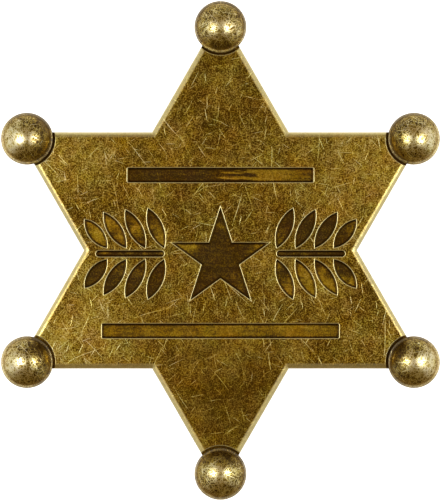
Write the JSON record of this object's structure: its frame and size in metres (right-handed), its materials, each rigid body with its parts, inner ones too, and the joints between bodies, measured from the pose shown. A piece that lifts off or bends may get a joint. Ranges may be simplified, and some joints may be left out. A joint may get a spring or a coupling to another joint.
{
  "type": "six-pointed star badge",
  "caption": "Flat star badge in aged brass with a domed ball on each tip, engraved bars and a plain star emblem on its face, and a brooch pin on its back.",
  "frame": {"origin": "centre of the star on the surface that the badge lies on, which the underside of its pin touches", "axes": "+Z leaves the badge's face, +Y points to its top tip and +X to the right when the face is looked at"},
  "size_m": [0.067, 0.0762, 0.0085],
  "materials": {
    "plate_brass": "aged brass, darkened and finely scratched, with dark recesses and bright worn edges",
    "ball_brass": "aged brass, smooth and semi-gloss with light scratches",
    "pin_brass": "satin brass, lightly tarnished"
  },
  "bodies": {
    "root": {"star_plate": "plate_brass", "tip_ball_1": "ball_brass", "tip_ball_2": "ball_brass", "tip_ball_3": "ball_brass", "tip_ball_4": "ball_brass", "tip_ball_5": "ball_brass", "tip_ball_6": "ball_brass", "brooch_pin": "pin_brass"}
  },
  "joints": []
}
